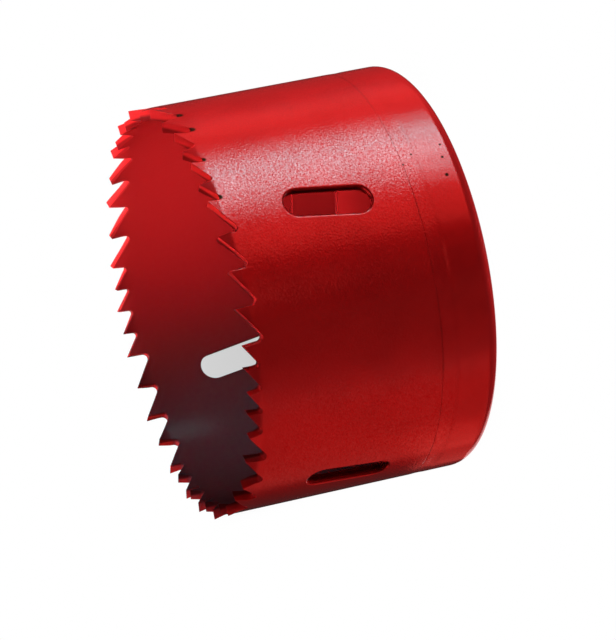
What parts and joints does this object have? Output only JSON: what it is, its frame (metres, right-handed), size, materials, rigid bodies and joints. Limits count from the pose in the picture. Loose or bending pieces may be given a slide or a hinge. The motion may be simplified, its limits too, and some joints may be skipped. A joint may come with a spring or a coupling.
{
  "type": "hole saw",
  "caption": "Cup-shaped hole saw: a slotted steel ring with set teeth of varied pitch round its mouth, welded to a drawn end cap with a threaded centre hole and drive pin holes.",
  "frame": {"origin": "centre of the flat back face", "axes": "+Z along the saw's axis from the back face to the tooth tips; the slots lie close to the X and Y axes"},
  "size_m": [0.0734, 0.0735, 0.0465],
  "materials": {
    "ring_paint": "gloss red paint with a fine orange-peel grain",
    "cap_paint": "smooth gloss red paint"
  },
  "bodies": {
    "root": {"toothed_ring": "ring_paint", "end_cap": "cap_paint"}
  },
  "joints": []
}
